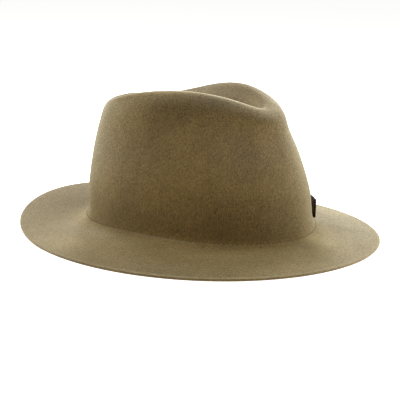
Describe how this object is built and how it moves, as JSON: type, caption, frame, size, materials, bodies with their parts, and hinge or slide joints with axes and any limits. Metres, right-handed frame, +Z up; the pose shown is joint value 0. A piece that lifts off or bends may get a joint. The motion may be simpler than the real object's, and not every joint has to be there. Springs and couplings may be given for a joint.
{
  "type": "felt hat",
  "caption": "Soft wool felt hat with a teardrop crown, pinched front, snap brim turned up at the back and a blank leather tab at the wearer's left.",
  "frame": {"origin": "centre of the hat's bounding box, on the surface that the brim rests on", "axes": "+Z up out of the crown, -Y towards the front of the hat, +X towards the wearer's left"},
  "size_m": [0.2916, 0.3176, 0.1231],
  "materials": {
    "wool_felt": "olive brown wool felt, matt and finely mottled, with a raw cut brim edge",
    "brown_leather": "very dark brown smooth leather with dyed cut edges"
  },
  "bodies": {
    "root": {"felt_body": "wool_felt", "leather_tab": "brown_leather"}
  },
  "joints": []
}
